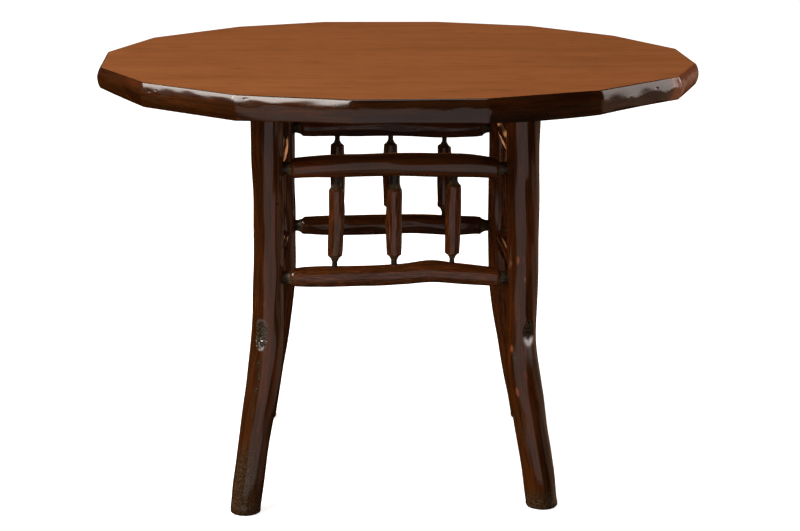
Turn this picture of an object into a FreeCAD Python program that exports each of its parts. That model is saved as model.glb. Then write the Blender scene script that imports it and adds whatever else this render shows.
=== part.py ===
import FreeCAD, Part
import math
import os

# Rustic hickory pole table.
# Four peeled hickory poles carry a sixteen-sided plank top with a rim of pole slabs.
# Eight rails with round tenons join the legs, and three spindles stand on each side
# between its two rails. Two cleats under the top tie the planks to the legs.
# Millimetres, +Z up, the origin on the floor under the middle of the top.
# The front of the table looks along -Y.

# Driving sizes of the top
table_height = 762.0
top_reach = 527.0
top_start_angle = -74.75
board_thickness = 28.0

# Corners of the top: how far each is turned from its even place, as a share of a side,
# and how far out it stands, as a share of the reach
corner_turn_shares = [0.10, 0.07, 0.06, -0.02, 0.0, -0.03, -0.02, -0.20,
                      -0.22, -0.13, -0.02, -0.06, 0.04, -0.07, 0.04, 0.08]
corner_reach_shares = [1.010, 1.014, 1.016, 1.002, 1.003, 1.009, 1.019, 0.997,
                       0.974, 0.952, 0.982, 0.990, 1.015, 1.015, 1.006, 0.994]

# Where the planks meet, as shares of the depth of the top
plank_edge_shares = [0.0, 0.130, 0.252, 0.371, 0.505, 0.628, 0.747, 0.873, 1.0]

# Driving sizes of the rim, a slab split from a pole
rim_height = 37.5
rim_bulge = 8.0
rim_lip = 1.8
rim_station_shares = [0.0, 0.16, 0.42, 0.70, 0.87, 1.0]
rim_swell_shares = [0.90, 1.02, 0.97, 1.05, 1.0, 0.88]

# How much lower the rim's bottom hangs at each corner, and how much more or less in the
# middle of each slab, as shares of the droop
rim_droop = 5.0
corner_droop_shares = [-0.3, 0.65, 0.85, 0.1, 0.45, 0.5, 0.3, 0.0,
                       0.2, 0.5, 0.3, 0.7, 0.4, 0.2, 0.6, 0.1]
slab_droop_shares = [0.1, 0.0, -0.1, -0.1, 0.4, -0.2, 0.1, 0.2,
                     -0.1, 0.2, 0.1, -0.2, 0.2, 0.0, -0.1, 0.2]

# Driving sizes of the nails that hold the rim
nail_diameter = 2.5
nail_length = 36.0
nail_set = 0.4
nail_place_shares = [0.26, 0.34, 0.71, 0.80]
nail_height_share = 0.70

# Driving sizes of the frame, to the middle lines of the legs
front_leg_spacing = 436.0
back_leg_spacing = 424.0
frame_depth = 426.0
front_frame_shift = -4.0
back_frame_shift = -12.0
depth_frame_shift = 5.0

# Driving sizes of the legs
leg_diameter = 55.0
leg_kick = 48.0
foot_round = 5.0
leg_station_count = 24
leg_height_shares = [0.0, 0.084, 0.183, 0.267, 0.337, 0.414, 0.492, 0.604, 0.744, 0.871, 1.0]
leg_kick_shares = {
    "leg_front_left": (-0.92, -1.33),
    "leg_front_right": (0.82, -0.62),
    "leg_back_left": (-1.00, 1.35),
    "leg_back_right": (1.10, 1.50),
}
leg_drift_shares = {
    "leg_front_left": [1.0, 0.83, 0.61, 0.39, 0.22, 0.10, 0.06, 0.01, -0.02, 0.0, 0.0],
    "leg_front_right": [1.0, 0.79, 0.50, 0.28, 0.09, -0.02, 0.0, 0.02, -0.01, -0.03, 0.0],
    "leg_back_left": [1.0, 0.82, 0.56, 0.36, 0.20, 0.05, 0.0, 0.01, 0.02, 0.0, 0.0],
    "leg_back_right": [1.0, 0.80, 0.56, 0.37, 0.20, 0.05, 0.0, -0.01, 0.0, 0.02, 0.0],
}
leg_girth_shares = {
    "leg_front_left": [0.96, 0.98, 0.99, 1.06, 1.10, 1.03, 1.0, 0.95, 0.98, 1.01, 1.02],
    "leg_front_right": [1.02, 1.04, 1.05, 1.07, 1.04, 0.96, 0.97, 1.0, 1.03, 1.03, 1.04],
    "leg_back_left": [0.97, 0.99, 1.02, 1.05, 1.03, 0.98, 0.97, 0.99, 1.0, 1.02, 1.02],
    "leg_back_right": [0.98, 1.0, 1.03, 1.04, 1.02, 0.97, 0.98, 1.0, 0.99, 1.01, 1.03],
}

# Driving sizes of the rails
upper_rail_drop = 166.0
lower_rail_drop = 357.0
side_rail_stagger = 14.0
upper_rail_diameter = 39.0
lower_rail_diameter = 36.0
rail_tenon_diameter = 22.0
rail_tip_wall = 0.6
rail_bare_length = 15.0
rail_station_count = 15

# How much of a rail's bare end is its tapered shoulder; the rest is its neck
rail_taper_shares = {"front": 0.35, "back": 0.75, "left": 0.6, "right": 0.6}

# Each rail: its two legs, whether it is an upper one, how many staggers it stands
# above the front and back rails
rail_plan = {
    "rail_front_upper": ("leg_front_left", "leg_front_right", True, 0),
    "rail_front_lower": ("leg_front_left", "leg_front_right", False, 0),
    "rail_back_upper": ("leg_back_left", "leg_back_right", True, 0),
    "rail_back_lower": ("leg_back_left", "leg_back_right", False, 0),
    "rail_left_upper": ("leg_front_left", "leg_back_left", True, -1),
    "rail_left_lower": ("leg_front_left", "leg_back_left", False, -1),
    "rail_right_upper": ("leg_front_right", "leg_back_right", True, 1),
    "rail_right_lower": ("leg_front_right", "leg_back_right", False, -1),
}

# Shape of each rail along its bark: place, sideways sway, rise and girth, where sway
# and rise are shares of the rail's radius and girth is a share of its diameter
rail_form_shares = {
    "rail_front_upper": [(0.0, 0.0, 0.0, 0.90), (0.13, 0.05, 0.16, 0.99), (0.38, 0.10, 0.30, 1.0),
                         (0.62, 0.0, 0.31, 1.05), (0.85, -0.05, 0.22, 1.03), (1.0, 0.0, 0.0, 0.92)],
    "rail_front_lower": [(0.0, 0.0, 0.0, 0.88), (0.10, 0.0, 0.05, 0.98), (0.36, 0.08, 0.18, 1.0),
                         (0.56, 0.10, 0.42, 1.02), (0.68, 0.05, 0.62, 1.08),
                         (0.82, 0.0, 0.36, 1.0), (1.0, 0.0, 0.0, 0.90)],
    "rail_back_upper": [(0.0, 0.0, 0.0, 0.90), (0.20, -0.06, 0.06, 1.0), (0.50, -0.10, 0.10, 0.98),
                        (0.80, -0.04, -0.04, 1.02), (1.0, 0.0, 0.0, 0.90)],
    "rail_back_lower": [(0.0, 0.0, 0.0, 0.94), (0.15, 0.0, 0.0, 1.06), (0.45, -0.08, 0.08, 1.08),
                        (0.62, -0.10, 0.18, 1.04), (0.85, 0.0, 0.02, 1.06), (1.0, 0.0, 0.0, 0.94)],
    "rail_left_upper": [(0.0, 0.0, 0.0, 0.90), (0.25, 0.10, 0.12, 1.0), (0.55, 0.14, 0.18, 1.03),
                        (0.80, 0.06, 0.08, 0.98), (1.0, 0.0, 0.0, 0.90)],
    "rail_left_lower": [(0.0, 0.0, 0.0, 0.90), (0.22, -0.06, -0.10, 1.02), (0.50, -0.12, -0.14, 1.0),
                        (0.76, -0.04, 0.04, 1.06), (1.0, 0.0, 0.0, 0.92)],
    "rail_right_upper": [(0.0, 0.0, 0.0, 0.92), (0.24, -0.08, 0.10, 1.02), (0.52, -0.12, 0.06, 0.98),
                         (0.78, -0.05, 0.12, 1.04), (1.0, 0.0, 0.0, 0.90)],
    "rail_right_lower": [(0.0, 0.0, 0.0, 0.90), (0.26, 0.08, 0.14, 1.04), (0.48, 0.12, 0.10, 1.0),
                         (0.74, 0.05, -0.06, 1.03), (1.0, 0.0, 0.0, 0.90)],
}

# Driving sizes of the spindles
spindle_diameter = 27.0
spindle_tenon_diameter = 11.0
spindle_tip_setback = 5.0
spindle_bare_length = 18.0
spindle_shoulder_share = 0.6
spindle_station_count = 7

# Each side's spindles: place of the head and of the foot, as shares of the rails
spindle_place_shares = {
    "front": [(0.271, 0.259), (0.498, 0.493), (0.731, 0.720)],
    "back": [(0.255, 0.253), (0.494, 0.493), (0.734, 0.736)],
    "left": [(0.262, 0.268), (0.503, 0.497), (0.738, 0.744)],
    "right": [(0.258, 0.252), (0.496, 0.505), (0.742, 0.735)],
}

# Each spindle's tenons at its foot and head, as shares of the tenon diameter
spindle_tenon_shares = {
    "front": [(0.84, 1.45), (0.93, 1.60), (0.80, 1.20)],
    "back": [(0.86, 0.86), (0.84, 0.88), (0.86, 0.84)],
    "left": [(0.88, 1.10), (0.92, 0.95), (0.86, 1.25)],
    "right": [(0.90, 1.20), (0.85, 1.05), (0.95, 0.90)],
}

# Each spindle's bare stretch at its foot and head, as shares of the bare length
spindle_bare_shares = {
    "front": [(1.10, 1.22), (0.95, 1.33), (0.88, 0.85)],
    "back": [(1.05, 0.95), (1.02, 0.92), (1.04, 0.95)],
    "left": [(1.00, 1.10), (1.08, 0.95), (0.92, 1.05)],
    "right": [(0.95, 1.05), (1.05, 1.12), (1.00, 0.90)],
}

# Shape of a spindle along its bark, from the foot up: place, sway and girth shares,
# turned a little further round on every next spindle
spindle_form_shares = [(0.0, 0.0, 0.94), (0.30, 0.07, 1.0), (0.62, 0.10, 1.03), (1.0, 0.0, 0.96)]
spindle_turn_angle = 137.0

# Driving sizes of the cleats and of what fastens the top
cleat_setback = 82.0
cleat_width = 76.0
cleat_thickness = 22.0
cleat_nose = 14.0
lag_diameter = 8.0
lag_length = 80.0
lag_head_diameter = 15.0
lag_head_height = 5.0
lag_recess_gap = 1.0
top_screw_diameter = 4.5
top_screw_length = 40.0
top_screw_head_diameter = 9.0
top_screw_head_height = 3.0

# Where the screws stand on each plank's width, and how far off the cleat's middle line,
# as a share of half its width, first to one side and then to the other
top_screw_width_shares = [0.3, 0.7]
top_screw_across_share = 0.55

# Driving sizes of the pins through the rail tenons
pin_diameter = 3.0
pin_length = 27.0

# A shoulder drops steeply to this share of its height within this share of its length,
# then runs out gently to the neck
shoulder_drop_share = 0.6
shoulder_steep_share = 0.35

# Clearances
tenon_gap = 0.15
tenon_end_gap = 1.0
metal_gap = 0.05
head_gap = 0.4
cut_overrun = 4.0

top_corners = len(corner_turn_shares)
plank_count = len(plank_edge_shares) - 1
leg_length = table_height - board_thickness - cleat_thickness
board_bottom = table_height - board_thickness
upper_rail_height = table_height - upper_rail_drop
lower_rail_height = table_height - lower_rail_drop
rail_tip_setback = rail_tenon_diameter / 2 + rail_tip_wall
up = FreeCAD.Vector(0, 0, 1)
frame_centre = FreeCAD.Vector(0, depth_frame_shift, 0)
parts = {}


def vector(x, y, z):
    return FreeCAD.Vector(x, y, z)


def cylinder(start, direction, diameter, length):
    return Part.makeCylinder(diameter / 2, length, start, direction)


def fused(shapes):
    return shapes[0].fuse(shapes[1:])


def cut_all(shape, tools):
    """Take each tool that reaches the shape out of it."""
    near = [tool for tool in tools if tool.BoundBox.intersect(shape.BoundBox)]
    if not near:
        return shape
    return shape.cut(near)


def group(shapes):
    return Part.makeCompound(shapes)


def slope(table, index):
    """Slope of a table of (place, value) pairs at one of its pairs."""
    low = table[max(index - 1, 0)]
    high = table[min(index + 1, len(table) - 1)]
    return (high[1] - low[1]) / (high[0] - low[0])


def between(table, place):
    """Value of a table of (place, value) pairs at a place, on a smooth curve through them."""
    index = 0
    while index < len(table) - 2 and place > table[index + 1][0]:
        index = index + 1
    (low, low_value), (high, high_value) = table[index], table[index + 1]
    width = high - low
    share = (place - low) / width
    rise = high_value - low_value
    start = slope(table, index) * width
    finish = slope(table, index + 1) * width
    bend = start + finish - rise * 2
    turn = rise * 3 - start * 2 - finish
    return low_value + (start + (turn + bend * share) * share) * share


def evenly(count):
    """Shares of a length from its start to its end, evenly spaced."""
    return [index / (count - 1) for index in range(count)]


# Top outline


def corner(index):
    """Corner of the top, counted from the left end round the front."""
    index = index % top_corners
    side_angle = 360.0 / top_corners
    angle = math.radians(top_start_angle + side_angle * (index + corner_turn_shares[index]))
    reach = top_reach * corner_reach_shares[index]
    return vector(reach * math.sin(angle), -reach * math.cos(angle), 0)


def side_direction(index):
    return (corner(index + 1) - corner(index)).normalize()


def side_normal(index):
    """Outward direction of a side of the top."""
    direction = side_direction(index)
    return vector(direction.y, -direction.x, 0)


def mitre_direction(index):
    """Direction of the mitre at a corner, as long as one unit out from both sides."""
    before = side_normal(index - 1)
    after = side_normal(index)
    middle = (before + after).normalize()
    return middle * (1 / middle.dot(after))


def plank_edges(index):
    """How far back the front and back edges of a plank lie."""
    places = [corner(place).y for place in range(top_corners)]
    front, back = min(places), max(places)
    shares = plank_edge_shares[index:index + 2]
    return [front + (back - front) * share for share in shares]


# Holes and fasteners of the rim


def nail_places(index):
    """Start and direction of each nail of a rim slab, from its outer face inwards."""
    low = corner(index)
    high = corner(index + 1)
    out = side_normal(index)
    height = table_height - board_thickness * nail_height_share
    places = []
    for share in nail_place_shares:
        foot = low + (high - low) * share
        start = foot + out * (rim_bulge * min(rim_swell_shares) - nail_set)
        places.append((start + up * height, out * -1))
    return places


def nail_holes(index):
    """Bores of a rim slab's nails, open to its outer face."""
    holes = []
    for start, direction in nail_places(index):
        mouth = start - direction * cut_overrun
        bore = nail_diameter + metal_gap * 2
        holes.append(cylinder(mouth, direction, bore, nail_length + cut_overrun))
    return holes


def rim_bottom(index, station):
    """Height of the bottom of a rim slab at a share of the way along it."""
    low = corner_droop_shares[index]
    high = corner_droop_shares[(index + 1) % top_corners]
    middle = slab_droop_shares[index] * 4 * station * (1 - station)
    droop = low + (high - low) * station + middle
    return table_height - rim_height - rim_droop * droop


def build_rim_slab(index):
    """One slab of the rim: flat on the board's edge, round outside, mitred at both ends."""
    low = corner(index)
    high = corner(index + 1)
    wires = []
    for place, station in enumerate(rim_station_shares):
        foot = low + (high - low) * station
        out = side_normal(index)
        if station == 0:
            out = mitre_direction(index)
        if station == 1:
            out = mitre_direction(index + 1)
        count = len(rim_swell_shares)
        swell = rim_bulge * rim_swell_shares[(place + index * 2) % count]
        bottom = rim_bottom(index, station)
        middle = (table_height + bottom) / 2
        inner_top = foot + up * table_height
        inner_bottom = foot + up * bottom
        outer_top = inner_top + out * rim_lip
        outer_bottom = inner_bottom + out * rim_lip
        crown = foot + out * swell + up * middle
        edges = [
            Part.makeLine(inner_bottom, inner_top),
            Part.makeLine(inner_top, outer_top),
            Part.Arc(outer_top, crown, outer_bottom).toShape(),
            Part.makeLine(outer_bottom, inner_bottom),
        ]
        wires.append(Part.Wire(edges))
    slab = Part.makeLoft(wires, True, False)
    return cut_all(slab, nail_holes(index))


# Legs


def leg_place(name):
    """Middle line of a leg where it meets the cleat."""
    front = "front" in name
    spacing = front_leg_spacing if front else back_leg_spacing
    shift = front_frame_shift if front else back_frame_shift
    side = -1 if "left" in name else 1
    depth = depth_frame_shift + frame_depth / 2 * (-1 if front else 1)
    return vector(shift + side * spacing / 2, depth, 0)


def leg_point(name, height):
    """Middle line of a leg at a height."""
    drift = list(zip(leg_height_shares, leg_drift_shares[name]))
    reached = between(drift, height / leg_length)
    across, along = leg_kick_shares[name]
    kick = vector(across * leg_kick, along * leg_kick, 0)
    return leg_place(name) + kick * reached + up * height


def leg_radius(name, height):
    girth = list(zip(leg_height_shares, leg_girth_shares[name]))
    return between(girth, height / leg_length) * leg_diameter / 2


def build_leg_pole(name):
    """The bent pole of a leg, before its mortises, with its foot rounded over."""
    heights = [foot_round + share * (leg_length - foot_round) for share in evenly(leg_station_count)]
    wires = []
    for height in heights:
        circle = Part.makeCircle(leg_radius(name, height), leg_point(name, height), up)
        wires.append(Part.Wire(circle))
    pole = Part.makeLoft(wires, True, False)
    sole_radius = leg_radius(name, foot_round) - foot_round
    sole_centre = leg_point(name, foot_round) - up * foot_round
    sole = Part.Wire(Part.makeCircle(sole_radius, sole_centre, up))
    foot = Part.makeLoft([sole, wires[0]], True, True)
    return fused([pole, foot])


# Rails


def rail_ends(name):
    """The rail's middle line where it crosses the middle lines of its two legs."""
    first, second, is_upper, staggers = rail_plan[name]
    height = upper_rail_height if is_upper else lower_rail_height
    height = height + staggers * side_rail_stagger
    return leg_point(first, height), leg_point(second, height)


def rail_direction(name):
    first, second = rail_ends(name)
    return (second - first).normalize()


def rail_diameter(name):
    return upper_rail_diameter if rail_plan[name][2] else lower_rail_diameter


def bark_ends(name):
    """Where the bark of a rail starts and ends, past its necks and shoulders."""
    first, second = rail_ends(name)
    direction = rail_direction(name)
    legs = rail_plan[name][:2]
    start = first + direction * (leg_radius(legs[0], first.z) + rail_bare_length)
    finish = second - direction * (leg_radius(legs[1], second.z) + rail_bare_length)
    return start, finish


def rail_stations(name):
    """Centre and radius of each round of a rail's bark."""
    start, finish = bark_ends(name)
    sideways = rail_direction(name).cross(up)
    radius = rail_diameter(name) / 2
    sways = [(row[0], row[1]) for row in rail_form_shares[name]]
    rises = [(row[0], row[2]) for row in rail_form_shares[name]]
    girths = [(row[0], row[3]) for row in rail_form_shares[name]]
    stations = []
    for place in evenly(rail_station_count):
        centre = start + (finish - start) * place
        centre = centre + sideways * (between(sways, place) * radius)
        centre = centre + up * (between(rises, place) * radius)
        stations.append((centre, between(girths, place) * radius))
    return stations


def rail_point(name, share):
    """Middle line of a rail at a share of the way between its legs."""
    first, second = rail_ends(name)
    wanted = first + (second - first) * share
    direction = rail_direction(name)
    line = []
    for centre, radius in rail_stations(name):
        line.append(((centre - first).dot(direction), centre))
    reach = (wanted - first).dot(direction)
    return between(line, reach)


def turned_pole(stations, direction, tips, tenon_diameters, shoulders):
    """A pole with its bark through the stations, and necks and tenons to its two tips."""
    bark_wires = []
    for centre, radius in stations:
        bark_wires.append(Part.Wire(Part.makeCircle(radius, centre, direction)))
    pieces = [Part.makeLoft(bark_wires, True, False)]
    ends = (stations[0], stations[-1])
    ways = (direction * -1, direction)
    for (centre, radius), away, tip, tenon_diameter, shoulder in zip(
            ends, ways, tips, tenon_diameters, shoulders):
        neck = centre + away * shoulder
        neck_radius = tenon_diameter / 2
        steep = shoulder * shoulder_steep_share
        knee = centre + away * steep
        knee_radius = radius - (radius - neck_radius) * shoulder_drop_share
        pieces.append(Part.makeCone(radius, knee_radius, steep, centre, away))
        pieces.append(Part.makeCone(knee_radius, neck_radius, shoulder - steep, knee, away))
        pieces.append(cylinder(neck, away, tenon_diameter, (tip - neck).dot(away)))
    return fused(pieces)


def rail_tips(name):
    first, second = rail_ends(name)
    direction = rail_direction(name)
    return first + direction * rail_tip_setback, second - direction * rail_tip_setback


def build_rail_pole(name):
    shoulder = rail_bare_length * rail_taper_shares[name.split("_")[1]]
    return turned_pole(rail_stations(name), rail_direction(name), rail_tips(name),
                       (rail_tenon_diameter, rail_tenon_diameter), (shoulder, shoulder))


def rail_mortises(name):
    """The two round mortises that take a rail's tenons, open to the leg's face."""
    direction = rail_direction(name)
    bore = rail_tenon_diameter + tenon_gap * 2
    mortises = []
    for tip, away in zip(rail_tips(name), (direction, direction * -1)):
        bottom = tip - away * tenon_end_gap
        mortises.append(cylinder(bottom, away, bore, leg_diameter))
    return mortises


# Pins through the rail tenons


def rail_pins(name):
    """Start and direction of the pins that lock a rail's tenons, driven from within."""
    first, second = rail_ends(name)
    direction = rail_direction(name)
    legs = rail_plan[name][:2]
    inward = direction.cross(up)
    if inward.dot(frame_centre - (first + second) / 2) < 0:
        inward = inward * -1
    pins = []
    for crossing, leg, away in ((first, legs[0], direction), (second, legs[1], direction * -1)):
        radius = leg_radius(leg, crossing.z)
        inset = (rail_tip_setback + radius) / 2
        chord = math.sqrt(radius ** 2 - inset ** 2)
        start = crossing + away * inset + inward * chord
        pins.append((start, inward * -1))
    return pins


def pin_holes(name):
    holes = []
    for start, direction in rail_pins(name):
        mouth = start - direction * cut_overrun
        bore = pin_diameter + metal_gap * 2
        holes.append(cylinder(mouth, direction, bore, pin_length + cut_overrun))
    return holes


# Spindles


def spindle_ends(side, index):
    """Middle line of a spindle on the lower rail and on the upper rail."""
    head, foot = spindle_place_shares[side][index]
    low = rail_point("rail_" + side + "_lower", foot)
    high = rail_point("rail_" + side + "_upper", head)
    return low, high


def rail_radius_at(name, point):
    """Radius of a rail's bark beside a point on its middle line."""
    direction = rail_direction(name)
    origin = rail_ends(name)[0]
    line = []
    for centre, radius in rail_stations(name):
        line.append(((centre - origin).dot(direction), radius))
    return between(line, (point - origin).dot(direction))


def spindle_tips(side, index):
    low, high = spindle_ends(side, index)
    direction = (high - low).normalize()
    return low + direction * spindle_tip_setback, high - direction * spindle_tip_setback


def spindle_tenons(side, index):
    """Diameters of a spindle's tenons at its foot and at its head."""
    return [share * spindle_tenon_diameter for share in spindle_tenon_shares[side][index]]


def build_spindle(side, index):
    low, high = spindle_ends(side, index)
    direction = (high - low).normalize()
    foot_bare, head_bare = [share * spindle_bare_length for share in spindle_bare_shares[side][index]]
    start = low + direction * (rail_radius_at("rail_" + side + "_lower", low) + foot_bare)
    finish = high - direction * (rail_radius_at("rail_" + side + "_upper", high) + head_bare)
    order = list(spindle_place_shares).index(side) * len(spindle_place_shares[side]) + index
    angle = math.radians(spindle_turn_angle * order)
    radius = spindle_diameter / 2
    sways = [(row[0], row[1]) for row in spindle_form_shares]
    girths = [(row[0], row[2]) for row in spindle_form_shares]
    stations = []
    for place in evenly(spindle_station_count):
        push = vector(math.cos(angle), math.sin(angle), 0) * (between(sways, place) * radius)
        stations.append((start + (finish - start) * place + push, between(girths, place) * radius))
    shoulders = [foot_bare * spindle_shoulder_share, head_bare * spindle_shoulder_share]
    return turned_pole(stations, direction, spindle_tips(side, index),
                       spindle_tenons(side, index), shoulders)


def spindle_mortise(side, index, is_upper):
    """The round mortise of a spindle in its upper or lower rail."""
    tip, end = spindle_tips(side, index)
    direction = (end - tip).normalize()
    foot_tenon, head_tenon = spindle_tenons(side, index)
    if is_upper:
        bottom = end + direction * tenon_end_gap
        return cylinder(bottom, direction * -1, head_tenon + tenon_gap * 2, upper_rail_diameter)
    bottom = tip - direction * tenon_end_gap
    return cylinder(bottom, direction, foot_tenon + tenon_gap * 2, lower_rail_diameter)


# Cleats and the screws of the top


def outline_crossings(origin, direction):
    """How far along a level line it crosses the outline of the top, first and last."""
    reaches = []
    for index in range(top_corners):
        start = corner(index) - origin
        side = corner(index + 1) - corner(index)
        turn = direction.x * side.y - direction.y * side.x
        place = (start.x * direction.y - start.y * direction.x) / turn
        if 0 <= place < 1:
            reaches.append((start.x * side.y - start.y * side.x) / turn)
    return min(reaches), max(reaches)


def cleat_line(side):
    """Front and back ends of a cleat's middle line, over two legs and clear of the rim."""
    front = leg_place("leg_front_" + side)
    direction = (leg_place("leg_back_" + side) - front).normalize()
    first, last = outline_crossings(front, direction)
    start = front + direction * (first + cleat_setback)
    finish = front + direction * (last - cleat_setback)
    return start + up * leg_length, finish + up * leg_length


def lag_places(side):
    """Top of each lag screw's recess, over the two legs of a cleat."""
    height = leg_length + cleat_thickness
    return [leg_place("leg_" + end + "_" + side) + up * height for end in ("front", "back")]


def lag_screw(place):
    """A lag screw: round head in its recess, shank down into the leg."""
    head_top = place - up * lag_recess_gap
    head = cylinder(head_top, up * -1, lag_head_diameter, lag_head_height)
    shank = cylinder(head_top, up * -1, lag_diameter, lag_head_height + lag_length)
    return fused([head, shank])


def lag_hole(place):
    depth = lag_recess_gap + lag_head_height
    recess = cylinder(place + up * cut_overrun, up * -1,
                      lag_head_diameter + head_gap * 2, depth + cut_overrun)
    bore = cylinder(place, up * -1, lag_diameter + metal_gap * 2, depth + lag_length)
    return fused([recess, bore])


def top_screw_places(side):
    """Mouth of each top screw, on the underside of a cleat."""
    start, finish = cleat_line(side)
    direction = (finish - start).normalize()
    across = direction.cross(up) * (cleat_width / 2 * top_screw_across_share)
    places = []
    for index in range(plank_count):
        low, high = plank_edges(index)
        for share in top_screw_width_shares:
            across = across * -1
            depth = low + (high - low) * share
            if start.y + cleat_nose * 2 < depth < finish.y - cleat_nose * 2:
                reach = (depth - start.y) / direction.y
                places.append(start + direction * reach + across)
    return places


def top_screw(place, gap):
    """A countersunk screw from under the cleat up into the board, or its hole."""
    head_radius = top_screw_head_diameter / 2 + gap
    shank_radius = top_screw_diameter / 2 + gap
    head = Part.makeCone(head_radius, shank_radius, top_screw_head_height, place, up)
    shank = cylinder(place, up, shank_radius * 2, top_screw_length)
    return fused([head, shank])


def build_cleat(side):
    """A flat bar under the top, with its lower edges cut away at the ends."""
    start, finish = cleat_line(side)
    along = (finish - start).normalize()
    across = along.cross(up) * (cleat_width / 2)
    lift = up * cleat_thickness
    nose = along * cleat_nose
    rise = up * (cleat_thickness / 2)
    profile = [start + nose, start + rise, start + lift,
               finish + lift, finish + rise, finish - nose]
    profile = [point - across for point in profile]
    face = Part.Face(Part.makePolygon(profile + [profile[0]]))
    bar = face.extrude(across * 2)
    tools = [lag_hole(place) for place in lag_places(side)]
    tools = tools + [top_screw(place, metal_gap) for place in top_screw_places(side)]
    return cut_all(bar, tools)


# Build every piece

outline = [corner(index) + up * board_bottom for index in range(top_corners)]
board = Part.Face(Part.makePolygon(outline + [outline[0]])).extrude(up * board_thickness)
left_edge = min(point.x for point in outline)
right_edge = max(point.x for point in outline)

rim_nails = []
rim_holes = []
for index in range(top_corners):
    parts["rim_slab_%02d" % (index + 1)] = build_rim_slab(index)
    rim_holes = rim_holes + nail_holes(index)
    for start, direction in nail_places(index):
        rim_nails.append(cylinder(start, direction, nail_diameter, nail_length))
parts["rim_nails"] = group(rim_nails)

screw_tools = []
screws = []
for side in ("left", "right"):
    parts["cleat_" + side] = build_cleat(side)
    for place in top_screw_places(side):
        screws.append(top_screw(place, 0))
        screw_tools.append(top_screw(place, metal_gap))
parts["top_screws"] = group(screws)

for index in range(plank_count):
    low, high = plank_edges(index)
    width = right_edge - left_edge
    strip = Part.makeBox(width, high - low, board_thickness, vector(left_edge, low, board_bottom))
    plank = board.common(strip)
    parts["plank_%d" % (index + 1)] = cut_all(plank, rim_holes + screw_tools)

lag_screws = []
lag_tools = []
for side in ("left", "right"):
    for place in lag_places(side):
        lag_screws.append(lag_screw(place))
        lag_tools.append(lag_hole(place))
parts["leg_lag_screws"] = group(lag_screws)

mortises = []
pin_tools = []
pins = []
for name in rail_plan:
    mortises = mortises + rail_mortises(name)
    pin_tools = pin_tools + pin_holes(name)
    for start, direction in rail_pins(name):
        pins.append(cylinder(start, direction, pin_diameter, pin_length))
parts["tenon_pins"] = group(pins)

for name in leg_kick_shares:
    parts[name] = cut_all(build_leg_pole(name), mortises + pin_tools + lag_tools)

for name in rail_plan:
    side = name.split("_")[1]
    is_upper = rail_plan[name][2]
    tools = list(pin_tools)
    for index in range(len(spindle_place_shares[side])):
        tools.append(spindle_mortise(side, index, is_upper))
    parts[name] = cut_all(build_rail_pole(name), tools)

for side in spindle_place_shares:
    for index in range(len(spindle_place_shares[side])):
        parts["spindle_%s_%d" % (side, index + 1)] = build_spindle(side, index)

os.makedirs("parts", exist_ok=True)
for name, shape in parts.items():
    if len(shape.Solids) == 1:
        shape = shape.Solids[0]
    shape.exportStep("parts/" + name + ".step")
    print(name, len(shape.Solids), "solids,", round(shape.Volume), "cubic mm")
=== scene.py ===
import math
import random

import bmesh
import bpy
import numpy
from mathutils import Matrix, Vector, noise


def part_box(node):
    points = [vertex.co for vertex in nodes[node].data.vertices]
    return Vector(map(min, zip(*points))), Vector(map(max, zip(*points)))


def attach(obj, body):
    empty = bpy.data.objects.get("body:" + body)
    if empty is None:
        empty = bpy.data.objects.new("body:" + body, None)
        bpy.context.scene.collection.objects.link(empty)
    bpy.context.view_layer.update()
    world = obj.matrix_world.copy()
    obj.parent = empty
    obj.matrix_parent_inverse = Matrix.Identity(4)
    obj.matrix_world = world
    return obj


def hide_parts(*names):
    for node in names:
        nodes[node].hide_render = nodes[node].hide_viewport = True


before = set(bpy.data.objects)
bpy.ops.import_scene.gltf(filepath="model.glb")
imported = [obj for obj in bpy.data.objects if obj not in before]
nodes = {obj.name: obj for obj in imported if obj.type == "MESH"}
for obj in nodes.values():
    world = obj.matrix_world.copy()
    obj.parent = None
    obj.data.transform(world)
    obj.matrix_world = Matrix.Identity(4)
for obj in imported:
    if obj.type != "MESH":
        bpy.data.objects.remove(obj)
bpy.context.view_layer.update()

bl_info = {
    "name": "Rustic hickory table",
    "version": (1, 0, 0),
    "blender": (4, 5, 0),
    "location": "3D View > Sidebar > Hickory",
    "description": "Dresses the frame of a hickory pole table with bark, boards and finish",
    "category": "Object",
}

body = "root"
mm = 0.001
full_turn = 2 * math.pi

rim_names = sorted(name for name in nodes if name.startswith("rim_slab_"))
plank_names = sorted(name for name in nodes if name.startswith("plank_"))
leg_names = sorted(name for name in nodes if name.startswith("leg_") and "screws" not in name)
rail_names = sorted(name for name in nodes if name.startswith("rail_"))
spindle_names = sorted(name for name in nodes if name.startswith("spindle_"))
cleat_names = sorted(name for name in nodes if name.startswith("cleat_"))
fastener_names = ["rim_nails", "top_screws", "leg_lag_screws", "tenon_pins"]


# Colour


def linear(code):
    """An sRGB hex colour as linear red, green, blue and alpha."""
    values = []
    for start in (1, 3, 5):
        value = int(code[start:start + 2], 16) / 255
        values.append(value / 12.92 if value <= 0.04045 else ((value + 0.055) / 1.055) ** 2.4)
    return (*values, 1.0)


# Sizes and colours that a user would change


def length(name, description, size):
    """A length in metres that a user may change."""
    return bpy.props.FloatProperty(name=name, description=description, default=size,
                                   min=0.0, unit="LENGTH", subtype="DISTANCE")


def colour(name, description, code):
    """A colour that a user may change."""
    return bpy.props.FloatVectorProperty(name=name, description=description, size=4, min=0.0,
                                         max=1.0, default=linear(code), subtype="COLOR")


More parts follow.
